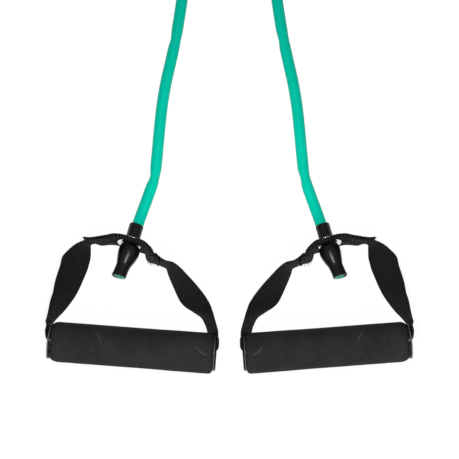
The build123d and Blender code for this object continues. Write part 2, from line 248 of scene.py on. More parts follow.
class Paint:
    """A node material with a few short ways to add to it."""

    def __init__(self, name, colour, roughness, **sockets):
        self.material = bpy.data.materials.new(name)
        self.material.use_nodes = True
        self.tree = self.material.node_tree
        self.shader = self.tree.nodes["Principled BSDF"]
        self.shader.inputs["Base Color"].default_value = (*colour, 1.0)
        self.shader.inputs["Roughness"].default_value = roughness
        for socket, value in sockets.items():
            self.shader.inputs[socket.replace("_", " ")].default_value = value
        self.place = self.add("ShaderNodeTexCoord").outputs["Object"]

    def add(self, kind, **settings):
        node = self.tree.nodes.new(kind)
        for name, value in settings.items():
            setattr(node, name, value)
        return node

    def link(self, source, target):
        self.tree.links.new(source, target)

    def plug_in(self, socket, value):
        if isinstance(value, (int, float, tuple)):
            socket.default_value = value
        else:
            self.link(value, socket)

    def math(self, operation, first, second=0.0, third=0.0):
        node = self.add("ShaderNodeMath", operation=operation)
        for socket, value in zip(node.inputs, (first, second, third)):
            self.plug_in(socket, value)
        return node.outputs[0]

    def noise(self, scale, detail=3.0, roughness=0.55, place=None):
        node = self.add("ShaderNodeTexNoise")
        self.link(self.place if place is None else place, node.inputs["Vector"])
        node.inputs["Scale"].default_value = scale
        node.inputs["Detail"].default_value = detail
        node.inputs["Roughness"].default_value = roughness
        return node.outputs["Fac"]

    def pores(self, scale):
        node = self.add("ShaderNodeTexVoronoi", feature="F1")
        self.link(self.place, node.inputs["Vector"])
        node.inputs["Scale"].default_value = scale
        return node.outputs["Distance"]

    def marked(self, name, output="Fac"):
        return self.add("ShaderNodeAttribute", attribute_name=name).outputs[output]

    def axes(self, vector):
        node = self.add("ShaderNodeSeparateXYZ")
        self.link(vector, node.inputs[0])
        return node.outputs

    def stretched(self, scale):
        node = self.add("ShaderNodeVectorMath", operation="MULTIPLY")
        self.link(self.place, node.inputs[0])
        node.inputs[1].default_value = scale
        return node.outputs[0]

    def spread(self, value, low, high, to_low, to_high):
        node = self.add("ShaderNodeMapRange")
        self.plug_in(node.inputs["Value"], value)
        set_range(node, low, high, to_low, to_high)
        return node.outputs["Result"]

    def mix(self, share, first, second):
        node = self.add("ShaderNodeMix", data_type="RGBA")
        self.plug_in(node.inputs["Factor"], share)
        for name, colour in (("A", first), ("B", second)):
            socket = next(s for s in node.inputs if s.name == name and s.type == "RGBA")
            if isinstance(colour, tuple):
                socket.default_value = (*colour, 1.0)
            else:
                self.link(colour, socket)
        return next(s for s in node.outputs if s.type == "RGBA")

    def blend(self, value, low, high, first, second, most=1.0):
        """Goes from the first colour towards the second as a value goes from low to high."""
        return self.mix(self.spread(value, low, high, 0.0, most), first, second)

    def colour(self, source):
        self.link(source, self.shader.inputs["Base Color"])

    def rough(self, source):
        self.link(source, self.shader.inputs["Roughness"])

    def bumps(self, *layers):
        """Stacks (height, depth in metres) layers of bump."""
        normal = None
        for height, depth in layers:
            bump = self.add("ShaderNodeBump")
            bump.inputs["Distance"].default_value = depth
            self.link(height, bump.inputs["Height"])
            if normal is not None:
                self.link(normal, bump.inputs["Normal"])
            normal = bump.outputs["Normal"]
        self.link(normal, self.shader.inputs["Normal"])


def foam_material():
    """Charcoal closed-cell foam: matte, finely porous, cloudy, with a painted highlight along its
    creases.
    """
    paint = Paint("foam", (0.015, 0.0148, 0.015), 0.85, Specular_IOR_Level=0.1)
    cloudy = paint.noise(46.0, 3.0)
    fine = paint.noise(900.0, 2.0)
    tone = paint.blend(cloudy, 0.35, 0.65, (0.0135, 0.0130, 0.0132), (0.0215, 0.0206, 0.0208))
    speckled = paint.blend(fine, 0.52, 0.74, tone, (0.042, 0.0405, 0.041), 0.55)
    # Painted highlight: the colour turns paler where the crease share is high, along the creases.
    crease_highlight = paint.marked("crease_highlight")
    paint.colour(paint.blend(crease_highlight, 0.15, 0.9, speckled, (0.052, 0.050, 0.051), 0.75))
    paint.rough(paint.spread(cloudy, 0.3, 0.7, 0.78, 0.90))
    paint.bumps((paint.pores(1400.0), 0.00012), (fine, 0.00010), (paint.noise(130.0, 3.0), 0.00025))
    return paint.material


def webbing_material():
    """Black woven webbing: over-and-under threads in both directions, faint fibres, with painted
    shade in the gaps between threads and a painted highlight on their tops.
    """
    paint = Paint("webbing", (0.006, 0.006, 0.006), 0.75, Specular_IOR_Level=0.08)
    across, along, _ = paint.axes(paint.marked("weave", "Vector"))
    warp_pitch, weft_pitch = 0.92, 1.15
    warp = paint.math("SINE", paint.math("MULTIPLY", across, math.pi / warp_pitch))
    weft = paint.math("SINE", paint.math("MULTIPLY", along, math.pi / weft_pitch))
    warp_round = paint.math("ABSOLUTE", warp)
    weft_round = paint.math("ABSOLUTE", weft)
    over = paint.math("GREATER_THAN", paint.math("MULTIPLY", warp, weft), 0.0)
    warp_arch = paint.math("MULTIPLY_ADD", weft_round, 0.55, 0.45)
    warp_top = paint.math("MULTIPLY", warp_round, warp_arch)
    weft_arch = paint.math("MULTIPLY_ADD", warp_round, 0.4, 0.15)
    weft_top = paint.math("MULTIPLY", weft_round, weft_arch)
    kept = paint.math("MULTIPLY", warp_top, over)
    rest = paint.math("MULTIPLY", weft_top, paint.math("SUBTRACT", 1.0, over))
    height = paint.math("ADD", kept, rest)
    fibres = paint.noise(2600.0, 2.0)
    # Painted shade and highlight: near black in the weave's gaps and paler on the thread tops,
    # following the weave's height.
    tone = paint.blend(height, 0.42, 0.9, (0.0006, 0.0006, 0.0007), (0.041, 0.0392, 0.0401))
    faded = paint.blend(paint.noise(45.0, 3.0), 0.42, 0.75, tone, (0.0125, 0.0112, 0.0112), 0.3)
    paint.colour(paint.blend(fibres, 0.6, 0.85, faded, (0.024, 0.023, 0.023), 0.3))
    paint.rough(paint.spread(height, 0.0, 1.0, 0.8, 0.56))
    paint.bumps((height, 0.00035), (fibres, 0.00006))
    return paint.material


def thread_material():
    """Black polyester thread with a light twist."""
    paint = Paint("thread", (0.008, 0.008, 0.008), 0.5, Specular_IOR_Level=0.3)
    twist = paint.add("ShaderNodeTexWave", bands_direction="DIAGONAL")
    paint.link(paint.place, twist.inputs["Vector"])
    twist.inputs["Scale"].default_value = 900.0
    paint.colour(paint.mix(twist.outputs["Fac"], (0.004, 0.004, 0.004), (0.014, 0.0135, 0.0135)))
    paint.bumps((twist.outputs["Fac"], 0.00008))
    return paint.material


def fray_material():
    """Pale ends of synthetic fibres at a cut edge."""
    paint = Paint("frayed_fibre", (0.02, 0.0195, 0.019), 0.7, Specular_IOR_Level=0.2)
    paint.colour(paint.mix(paint.noise(700.0), (0.008, 0.008, 0.008), (0.05, 0.048, 0.047)))
    return paint.material


def sleeve_material():
    """Glossy black moulded vinyl with faint moulding ripple and handling marks."""
    paint = Paint("sleeve_plastic", (0.003, 0.003, 0.0034), 0.29, Specular_IOR_Level=0.27)
    marks = paint.noise(160.0, 5.0, 0.65)
    paint.colour(paint.blend(marks, 0.4, 0.75, (0.003, 0.003, 0.0034), (0.006, 0.0058, 0.006)))
    paint.rough(paint.spread(marks, 0.35, 0.72, 0.27, 0.32))
    paint.bumps((paint.noise(420.0, 2.0), 0.000002), (paint.noise(90.0, 2.0), 0.00001))
    return paint.material


def cap_material():
    """Black polished cap with a few scuffs, and a painted highlight along its ridge."""
    paint = Paint("cap_plastic", (0.007, 0.007, 0.0075), 0.28, Specular_IOR_Level=0.1)
    scuffs = paint.noise(260.0, 5.0, 0.7)
    tone = paint.blend(scuffs, 0.5, 0.8, (0.006, 0.006, 0.0065), (0.013, 0.0125, 0.013))
    # Painted highlight: pale grey colour on the ridge's crest, where the mark is set.
    paint.colour(paint.mix(paint.marked("ridge_highlight"), tone, (0.17, 0.17, 0.175)))
    paint.rough(paint.spread(scuffs, 0.4, 0.75, 0.22, 0.34))
    paint.bumps((scuffs, 0.000008))
    return paint.material


def core_material():
    """Matte black extruded tube."""
    paint = Paint("core_plastic", (0.012, 0.012, 0.0125), 0.6)
    grain = paint.noise(500.0, 3.0)
    paint.colour(paint.blend(grain, 0.4, 0.7, (0.010, 0.010, 0.0105), (0.017, 0.017, 0.017)))
    paint.bumps((grain, 0.00008))
    return paint.material


def nickel_material():
    """Bright nickel plate with fine scratches."""
    paint = Paint("nickel", (0.80, 0.78, 0.75), 0.16, Metallic=1.0)
    scratches = paint.noise(300.0, 4.0, 0.7, paint.stretched((1.0, 1.0, 6.0)))
    paint.colour(paint.blend(scratches, 0.45, 0.75, (0.82, 0.80, 0.77), (0.62, 0.60, 0.57)))
    paint.rough(paint.spread(scratches, 0.4, 0.75, 0.12, 0.3))
    paint.bumps((scratches, 0.00003))
    return paint.material


def tube_material():
    """Teal latex: satin skin, faint bloom, cloudy pigment, and painted shade that darkens it away
    from the handles.
    """
    sheen = {"Specular_IOR_Level": 0.08, "Specular_Tint": (0.2, 1.0, 0.85, 1.0)}
    paint = Paint("tube_rubber", (0.0, 0.50, 0.35), 0.5, **sheen)
    cloud = paint.noise(60.0, 4.0)
    bloom = paint.noise(420.0, 3.0, 0.6)
    near = paint.blend(cloud, 0.3, 0.7, (0.0, 0.47, 0.325), (0.0, 0.525, 0.370))
    # Painted shade: the colour darkens as y grows, away from the handles, in place of the light
    # falling off.
    tone = paint.blend(paint.axes(paint.place)["Y"], 0.12, 0.24, near, (0.0, 0.395, 0.275))
    paint.colour(paint.blend(bloom, 0.52, 0.78, tone, (0.004, 0.56, 0.41), 0.30))
    paint.rough(paint.spread(bloom, 0.35, 0.7, 0.42, 0.58))
    paint.bumps((bloom, 0.00005), (paint.noise(150.0, 2.0), 0.00010))
    return paint.material


def tube_cut_material():
    """The tube's cut end: painted paler than its skin as a highlight, with chalky flecks."""
    paint = Paint("tube_cut", (0.06, 0.42, 0.29), 0.6, Specular_IOR_Level=0.2)
    chalk = paint.noise(500.0, 3.0)
    # Painted highlight: both colours are paler than the tube's skin.
    paint.colour(paint.blend(chalk, 0.35, 0.65, (0.03, 0.36, 0.24), (0.14, 0.50, 0.36)))
    paint.bumps((chalk, 0.00005))
    return paint.material


def stopper_material():
    """Matte moulded bead."""
    paint = Paint("stopper_plastic", (0.028, 0.028, 0.028), 0.5)
    paint.bumps((paint.noise(350.0, 3.0), 0.00008))
    return paint.material


def floor_material():
    """Plain white sweep, lit from below as well, so that shadows stay faint."""
    paint = Paint("floor_white", (0.1, 0.1, 0.1), 0.9, Specular_IOR_Level=0.0)
    paint.shader.inputs["Emission Color"].default_value = (1.0, 1.0, 1.0, 1.0)
    paint.shader.inputs["Emission Strength"].default_value = 0.92
    return paint.material


MATERIALS = {
    "foam": foam_material(),
    "webbing": webbing_material(),
    "thread": thread_material(),
    "fray": fray_material(),
    "sleeve_plastic": sleeve_material(),
    "cap_plastic": cap_material(),
    "core_plastic": core_material(),
    "nickel": nickel_material(),
    "tube_rubber": tube_material(),
    "tube_cut": tube_cut_material(),
    "stopper_plastic": stopper_material(),
}


def finish_piece(piece, body, slot, nodes=(), look=None):
    """Paints a piece in its slot's material, or in another look, fixes it to its body if it has one,
    and hides the nodes it stands for.
    """
    piece.data.materials.append(MATERIALS[look or slot])
    if body is not None:
        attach(piece, body)
    if nodes:
        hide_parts(*nodes)


# --- the tube ---

# The design's own route points, from inside the left collar. Only the right run's last
# two are higher, by up to 0.7 mm.
LEFT_ROUTE = [
    (-76.75, 50.89, 9.78),
    (-71.99, 64.61, 4.5),
    (-66.4, 79.7, 4.5),
    (-60.3, 96.7, 4.5),
    (-58.6, 113.2, 4.5),
    (-56.9, 131.7, 4.5),
    (-54.9, 152.2, 4.5),
    (-51.6, 172.7, 4.5),
    (-47.2, 191.2, 4.5),
    (-43.5, 208.2, 4.5),
    (-40.7, 224.7, 4.5),
    (-38.2, 241.2, 4.5),
    (-36.7, 256.2, 4.5),
    (-37.4, 271.2, 4.5),
    (-40.4, 285.7, 4.5),
    (-44.8, 299.7, 4.5),
]
SHARED_POINTS = 12
RIGHT_ROUTE_END = [
    (36.7, 256.2, 4.8),
    (37.6, 270.7, 7.4),
    (40.6, 285.2, 12.6),
    (44.0, 299.7, 14.9),
]
KINKS = [(3, 0.17), (9, 0.10)]  # (point of the route, depth as a share of the radius)
KINK_REACH = 5.0
# Shares of a kink's depth: off the tube's width, off its height, and pressed into its
# inner side.
KINK_NARROWS, KINK_LOWERS, KINK_DENTS = 0.55, 0.12, 1.1
TUBE_FLATTENED = 1.03  # how much wider than round the tube lies
TUBE_SEGMENTS = 28
COIL_CENTRE = (0.0, 321.7)
COIL_TURNS = 2.5
COIL_POINTS_PER_TURN = 16
OUTER_TURN_RADIUS = 49.7
INNER_TURN_STEP = 9.3


def coil_points():
    """Control points of the coil: an outer turn, an inner one, and half a turn on top."""
    step = 360.0 / COIL_POINTS_PER_TURN
    swell = 1 / math.cos(math.radians(step / 2))
    points = []
    for i in range(int(COIL_TURNS * COIL_POINTS_PER_TURN) + 1):
        wound = i * step
        radius = OUTER_TURN_RADIUS
        radius -= INNER_TURN_STEP * smooth_step(wound, 250, 330)
        radius += INNER_TURN_STEP / 2 * smooth_step(wound, 620, 700)
        height = TUBE_RADIUS + 8.0 * smooth_step(wound, 540, 620)
        angle = math.radians(180.0 - wound)
        x = COIL_CENTRE[0] + radius * swell * math.cos(angle)
        y = COIL_CENTRE[1] + radius * swell * math.sin(angle)
        points.append((x, y, height))
    return points


def smooth_line(name, points):
    """Points in metres along the smooth spline that these points in mm control."""
    curve = bpy.data.curves.new(name, "CURVE")
    curve.dimensions = "3D"
    curve.resolution_u = 10
    spline = curve.splines.new("NURBS")
    spline.points.add(len(points) - 1)
    for point, place in zip(spline.points, points):
        point.co = (*[value * MM for value in place], 1.0)
    spline.order_u = 3
    spline.use_endpoint_u = True
    holder = add_object(name, curve)
    bpy.context.view_layer.update()
    mesh = bpy.data.meshes.new_from_object(holder)
    line = np.array([vertex.co for vertex in mesh.vertices])
    bpy.data.objects.remove(holder)
    bpy.data.meshes.remove(mesh)
    bpy.data.curves.remove(curve)
    return line


def line_frames(line):
    """Side and up vectors along a line, without twist."""
    tangents = np.gradient(line, axis=0)
    tangents /= np.linalg.norm(tangents, axis=1)[:, None]
    side = np.cross(tangents[0], [0.0, 0.0, 1.0])
    sides = []
    for tangent in tangents:
        side = side - tangent * np.dot(side, tangent)
        side /= np.linalg.norm(side)
        sides.append(side)
    sides = np.array(sides)
    return sides, np.cross(sides, tangents)


def tube_piece():
    """The whole free tube as one mesh along its smooth line, collar to collar."""
    right_route = [(-x, y, z) for x, y, z in LEFT_ROUTE[:SHARED_POINTS]] + RIGHT_ROUTE_END
    route = LEFT_ROUTE + coil_points() + right_route[::-1]
    line = smooth_line("tube_line", route)
    sides, ups = line_frames(line)
    kinks = [(LEFT_ROUTE[i], depth, 1) for i, depth in KINKS]
    kinks += [((-LEFT_ROUTE[i][0], *LEFT_ROUTE[i][1:]), depth, -1) for i, depth in KINKS]
    angles = np.arange(TUBE_SEGMENTS) * (2 * math.pi / TUBE_SEGMENTS)
    points = []
    for here, side, up in zip(line, sides, ups):
        kinked, inner = 0.0, 1
        for place, depth, hand in kinks:
            away = np.linalg.norm(here / MM - np.array(place))
            deep = depth * math.exp(-((away / KINK_REACH) ** 2))
            if deep > kinked:
                kinked, inner = deep, hand
        for angle in angles:
            across, high = math.cos(angle), math.sin(angle)
            towards = max(0.0, -across * inner) ** 2
            narrowed = kinked * (KINK_NARROWS + KINK_DENTS * towards)
            wide = TUBE_RADIUS * MM * (TUBE_FLATTENED - narrowed)
            tall = TUBE_RADIUS * MM * (1 - kinked * KINK_LOWERS)
            points.append(here + side * across * wide + up * high * tall)
    faces = capped_rings(len(line), TUBE_SEGMENTS)
    piece = new_mesh("elastic_tube", points, faces)
    finish_piece(piece, "band", "tube_rubber", ("tube_lead_left", "tube_lead_right", "tube_coil"))


# --- the strap ---

# Where the strap comes out of a cap: (past the foam's end, middle's y, half the angle
# of its curl in degrees, how much further out its edges are, and how much further in
# its lower edge is).
STRAP_CURL = [
    (1.2, 9.0, 79.5, 0.0, 0.0),
    (2.7, 9.6, 74.0, 0.4, 0.0),
    (3.6, 11.0, 60.0, 0.15, 0.0),
    (3.15, 13.4, 42.0, 0.2, 1.1),
    (2.6, 16.4, 22.0, 0.2, 3.4),
]
OUTER_CURL_EXTRA = [0.0, 0.2, 0.0, 0.9, 0.9]
# (upper edge x, y, lower edge x, y, height of the lower edge)
OUTER_LEG = [
    (-34.5, 84.9, -33.4, 81.4, 0.5),
    (-38.5, 84.5, -36.7, 81.8, 0.4),
    (-43.8, 83.4, -39.6, 80.2, 0.5),
    (-50.6, 79.9, -39.1, 76.1, 0.7),
    (-56.6, 74.5, -38.7, 71.3, 0.9),
    (-61.0, 69.1, -39.3, 66.1, 0.9),
    (-62.5, 62.5, -40.2, 60.0, 0.9),
    (-64.2, 55.5, -42.7, 52.6, 0.9),
    (-65.3, 48.0, -45.8, 45.0, 0.9),
    (-66.1, 40.4, -48.9, 38.2, 0.9),
    (-68.0, 33.5, -53.0, 31.6, 0.9),
    (-68.6, 25.9, -57.9, 24.5, 1.2),
    (-69.2, 21.0, -61.6, 20.3, 1.8),
    (-69.7, 18.0, -64.0, 17.2, 2.6),
    (-69.9, 16.6, -65.9, 14.4, 3.2),
]
INNER_LEG = [
    (17.4, 74.3, 15.8, 68.3, 0.5),
    (22.0, 71.9, 19.3, 66.6, 0.4),
    (28.5, 70.7, 23.2, 65.2, 0.5),
    (35.1, 66.7, 25.2, 60.8, 0.7),
    (40.3, 61.8, 27.5, 55.7, 0.8),
    (45.2, 56.6, 30.6, 50.0, 0.9),
    (50.4, 51.5, 33.7, 43.9, 0.9),
    (55.9, 46.0, 36.7, 38.4, 0.9),
    (60.2, 40.0, 40.7, 34.9, 0.9),
    (62.9, 33.4, 47.5, 32.0, 0.9),
    (64.9, 27.4, 53.7, 28.4, 0.9),
    (66.6, 22.6, 56.2, 25.1, 1.0),
    (67.6, 19.8, 58.0, 21.8, 1.5),
    (68.0, 18.2, 59.3, 19.0, 2.2),
    (68.3, 16.9, 61.0, 14.8, 2.9),
]
# (x, y, lean from upright in degrees) of the head's middle, left to right.
HEAD_LEFT = [(-31.6, 84.4, 11.5), (-25.6, 85.3, 14.0), (-20.9, 86.1, 17.0)]
HEAD_RIGHT = [(7.8, 78.4, 12.8), (10.9, 73.0, 13.3), (14.0, 73.4, 14.9)]
# Each layer's distance from the head's middle, towards the tube.
TUBE_SIDE_SHIFT = 0.74
GRIP_SIDE_SHIFTS = [-1.35, -0.95, -0.76, -0.74, -0.74, -0.74, -0.78, -1.0, -1.5]
# The tube-side layer's loose end, past the head's left end: (x, y, lean).
TAIL = [(-44.7, 85.3, 3.3), (-40.5, 85.0, 3.8), (-36.4, 85.1, 6.6)]
# The grip-side layer's cut end, past the head's right end.
CUT_END = (16.9, 71.4, 16.8, 66.9, 0.6)
# Diagonal folds in the grip-side layer: (distances from its cut end, where the fold is
# across the strap at each from -1 to 1, how far it stands out or in, half its width).
HEAD_FOLDS = [
    (36.0, 62.0, -0.5, 0.35, -0.75, 0.17),
    (36.0, 62.0, -0.15, 0.75, 0.55, 0.2),
    (42.0, 66.0, -0.85, -0.15, 0.45, 0.2),
]
ROW_SPACING = 1.5
ROWS_INSIDE = 8  # in the grip, clear of its ends
CLEAR_OF_ENDS = 10.0
EDGE_ROUNDING = 0.7
ACROSS = np.array(
    [-1.0, -0.992, -0.972, -0.944, -0.88, -0.78, -0.66, -0.52, -0.36, -0.18, 0.0]
)
ACROSS = np.concatenate([ACROSS, -ACROSS[-2::-1]])


def flat_row(upper_x, upper_y, lower_x, lower_y, lower_z):
    """Points across the strap where it is flat, lower edge first."""
    plan = math.hypot(upper_x - lower_x, upper_y - lower_y)
    rise = math.sqrt(STRAP_WIDTH**2 - plan**2)
    lower = np.array([lower_x, lower_y, lower_z])
    upper = np.array([upper_x, upper_y, lower_z + rise])
    return lower + (upper - lower) * ((ACROSS + 1) / 2)[:, None]


def curled_row(end, past, front, half_curl, lead, twist):
    """Points across the strap where it is curled into a cap's bore."""
    curl = math.radians(half_curl)
    radius = STRAP_WIDTH / 2 / curl
    depth = radius * (1 - math.cos(curl))
    angles = ACROSS * curl
    drop = radius * (1 - np.cos(angles))
    out = GRIP_LENGTH / 2 + past + lead * drop / depth - twist * (1 - ACROSS) / 2
    return np.stack([end * out, front - drop, GRIP_RADIUS + radius * np.sin(angles)], axis=1)


def head_row(x, y, lean, turn, shift):
    """Points across one layer of the head, shift mm towards the tube."""
    lean, turn = math.radians(lean), math.radians(turn)
    back = np.array([-math.sin(turn), math.cos(turn), 0.0])
    up = back * math.sin(lean) + np.array([0.0, 0.0, math.cos(lean)])
    out = back * math.cos(lean) - np.array([0.0, 0.0, math.sin(lean)])
    middle = np.array([x, y, STRAP_WIDTH / 2 * math.cos(lean) + HEAD_FLOOR_GAP])
    return middle + out * shift + up * (ACROSS * STRAP_WIDTH / 2)[:, None]


def head_stations():
    """(x, y, lean, turn) of the head from left to right, flat at the eyelet."""
    turn = math.radians(HEAD_TURN)
    x, y = HEAD_CENTRE
    flat = [
        (x + way * math.cos(turn), y + way * math.sin(turn), HEAD_LEAN)
        for way in (-HEAD_FLAT_HALF, 0.0, HEAD_FLAT_HALF)
    ]
    stations = HEAD_LEFT + flat + HEAD_RIGHT
    made = []
    last = len(stations) - 1
    for i, (x, y, lean) in enumerate(stations):
        before, after = stations[max(i - 1, 0)], stations[min(i + 1, last)]
        turn = math.degrees(math.atan2(after[1] - before[1], after[0] - before[0]))
        if len(HEAD_LEFT) <= i < len(HEAD_LEFT) + len(flat):
            turn = HEAD_TURN
        made.append((x, y, lean, turn))
    return made


def strap_rows():
    """Rows across the one strip of webbing, from its loose end to its cut end."""
    stations = head_stations()
    rows = [head_row(x, y, lean, 0.0, 0.0) for x, y, lean in TAIL]
    rows += [head_row(*station, TUBE_SIDE_SHIFT) for station in stations]
    rows += [flat_row(*station) for station in INNER_LEG]
    rows += [curled_row(1, *station) for station in reversed(STRAP_CURL)]
    half = GRIP_LENGTH / 2
    for x in np.linspace(half - CLEAR_OF_ENDS, CLEAR_OF_ENDS - half, ROWS_INSIDE):
        rows.append(curled_row(1, x - half, *STRAP_CURL[0][1:]))
    for (past, *rest), extra in zip(STRAP_CURL, OUTER_CURL_EXTRA):
        rows.append(curled_row(-1, past + extra, *rest))
    rows += [flat_row(*station) for station in reversed(OUTER_LEG)]
    rows += [head_row(*station, shift) for station, shift in zip(stations, GRIP_SIDE_SHIFTS)]
    rows.append(flat_row(*CUT_END))
    return np.array(rows)


def strap_surface():
    """The strip's middle surface: (rows of points, distance along it at each row)."""
    rows = strap_rows()
    middle = rows[:, len(ACROSS) // 2]
    knots = np.concatenate([[0], np.cumsum(np.linalg.norm(np.diff(middle, axis=0), axis=1))])
    count = int(knots[-1] / ROW_SPACING)
    along = np.linspace(0, knots[-1], count)
    return through(rows, knots, along), along


def surface_normals(rows):
    """Unit normals of a grid of points."""
    along = np.gradient(rows, axis=0)
    across = np.gradient(rows, axis=1)
    normals = np.cross(along, across)
    return normals / np.linalg.norm(normals, axis=2)[:, :, None]


def strap_waves(rows, along):
    """How far the cloth stands off its smooth surface, in mm: more on the free legs."""
    y = rows[:, :, 1]
    free = smooth_step(y, 24.0, 34.0) * (1 - smooth_step(y, 66.0, 74.0))
    s = along[:, None]
    u = ACROSS[None, :]
    rolling = 0.34 * np.sin(s / 6.1 + 1.3 * u) + 0.22 * np.sin(s / 3.7 + 2.1 * u + 0.8)
    cup = 0.55 * (1 - u**2)
    waves = free * (rolling + cup)
    from_cut = along[-1] - s
    for near, far, low, high, deep, wide in HEAD_FOLDS:
        share = (from_cut - near) / (far - near)
        line = high + (low - high) * share
        held = smooth_step(share, -0.25, 0.1) * (1 - smooth_step(share, 0.9, 1.25))
        waves = waves + deep * held * np.exp(-(((u - line) / wide) ** 2))
    return waves


def strap_piece(side):
    """The webbing of one handle: through the grip and sewn to itself in the head."""
    rows, along = strap_surface()
    normals = surface_normals(rows)
    rows = rows + normals * strap_waves(rows, along)[:, :, None]
    normals = surface_normals(rows)
    edge = np.clip((1 - np.abs(ACROSS)) * STRAP_WIDTH / 2 / EDGE_ROUNDING, 0, 1)
    half = STRAP_THICKNESS / 2 * np.sqrt(1 - (1 - edge) ** 2)
    front = rows + normals * half[None, :, None]
    back = rows - normals * half[None, :, None]
    columns = len(ACROSS)
    ring = np.concatenate([front, back[:, -2:0:-1]], axis=1)
    count = ring.shape[1]
    points = ring.reshape(-1, 3)
    faces = ring_faces(len(ring), count)
    for start in (0, (len(ring) - 1) * count):
        for j in range(columns - 1):
            face = (j, j + 1, (count - j - 1) % count, (count - j) % count)
            corners = tuple(dict.fromkeys(start + corner for corner in face))
            faces.append(corners if start == 0 else corners[::-1])
    faces = [face[::-1] for face in faces]
    piece = on_side(side, "strap", from_grip(points), faces, sharp_angle=60.0)
    u = np.concatenate([ACROSS, ACROSS[-2:0:-1]]) * STRAP_WIDTH / 2
    weave = np.zeros((len(along), count, 3), np.float32)
    weave[:, :, 0] = u[None, :]
    weave[:, :, 1] = along[:, None]
    attribute = piece.data.attributes.new("weave", "FLOAT_VECTOR", "POINT")
    attribute.data.foreach_set("vector", weave.ravel())
    finish_piece(piece, None, "webbing", (f"{side}_strap_head", f"{side}_strap_loop"))
    fold = joints[f"{side}_fold"]
    place, line = np.array(fold["pos_m"]), np.array(fold["axis"])
    to_grip = np.array([-line[1], line[0], 0.0])
    to_grip *= -math.copysign(1.0, to_grip[1])
    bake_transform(piece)


# --- pieces of the head ---

STITCH_COLUMNS = (-29.5, -26.5, 8.6, 12.0)
STITCHES_IN_COLUMN = 7
STITCH_SIZES = (1.15, 0.36, 0.36)  # half its length, and its radius both ways
FRAYS_AT_CUT = 26
FRAYS_AT_TAIL = 8


def bead(centre, axes, sizes, rings=6, segments=8):
    """(points, faces) of a closed ellipsoid about a centre, in mm."""
    points = [centre - axes[0] * sizes[0]]
    for i in range(1, rings):
        polar = math.pi * i / rings
        for j in range(segments):
            angle = 2 * math.pi * j / segments
            points.append(
                centre
                - axes[0] * sizes[0] * math.cos(polar)
                + axes[1] * sizes[1] * math.sin(polar) * math.cos(angle)
                + axes[2] * sizes[2] * math.sin(polar) * math.sin(angle)
            )
    points.append(centre + axes[0] * sizes[0])
    last = len(points) - 1
    faces = []
    for j in range(segments):
        k = (j + 1) % segments
        faces.append((0, 1 + k, 1 + j))
        for i in range(rings - 2):
            a, b = 1 + i * segments, 1 + (i + 1) * segments
            faces.append((a + j, a + k, b + k, b + j))
        a = 1 + (rings - 2) * segments
        faces.append((a + j, a + k, last))
    return points, faces


def joined(parts):
    """Several (points, faces) as one."""
    points, faces = [], []
    for some, more in parts:
        start = len(points)
        points += list(some)
        faces += [tuple(start + i for i in face) for face in more]
    return np.array(points), faces


def head_at(column):
    """The head's (x, y, lean, turn) at this x, and its grip-side layer's shift there."""
    stations = head_stations()
    index = max(i for i, station in enumerate(stations) if station[0] <= column)
    first, second = stations[index], stations[index + 1]
    share = (column - first[0]) / (second[0] - first[0])
    near, far = GRIP_SIDE_SHIFTS[index:index + 2]
    return [a + (b - a) * share for a, b in zip(first, second)], near + (far - near) * share


def stitches_piece(side):
    """Bar tacks through both layers at each end of the head."""
    beads = []
    for column in STITCH_COLUMNS:
        (x, y, lean, turn), grip_side_shift = head_at(column)
        angle = math.radians(turn)
        along = np.array([math.cos(angle), math.sin(angle), 0.0])
        for shift, outward in ((TUBE_SIDE_SHIFT, 1), (grip_side_shift, -1)):
            row = head_row(x, y, lean, turn, shift + outward * STRAP_THICKNESS / 2)
            whole = row[-1] - row[0]
            up = whole / np.linalg.norm(whole)
            axes = (up, along, np.cross(up, along))
            for i in range(STITCHES_IN_COLUMN):
                centre = row[0] + whole * ((i + 0.5) / STITCHES_IN_COLUMN)
                beads.append(bead(centre, axes, STITCH_SIZES))
    points, faces = joined(beads)
    piece = on_side(side, "stitches", from_grip(points), faces, sharp_angle=80.0)
    finish_piece(piece, f"{side}_head", "thread", (f"{side}_stitching",))


def fibre(start, way, length, radius, droop, bend):
    """(points, faces) of one thin curved fibre, in mm."""
    steps, segments = 7, 5
    way = np.array(way) / np.linalg.norm(way)
    side = np.cross(way, [0.0, 0.0, 1.0])
    side /= np.linalg.norm(side)
    sag = side * bend - np.array([0.0, 0.0, droop])
    t = np.linspace(0.0, 1.0, steps)[:, None]
    line = start + way * length * t + sag * t * t
    sides, ups = line_frames(line)
    points = []
    for i in range(steps):
        r = radius * (1 - 0.55 * i / (steps - 1))
        for j in range(segments):
            angle = 2 * math.pi * j / segments
            points.append(line[i] + (sides[i] * math.cos(angle) + ups[i] * math.sin(angle)) * r)
    return points, capped_rings(steps, segments)


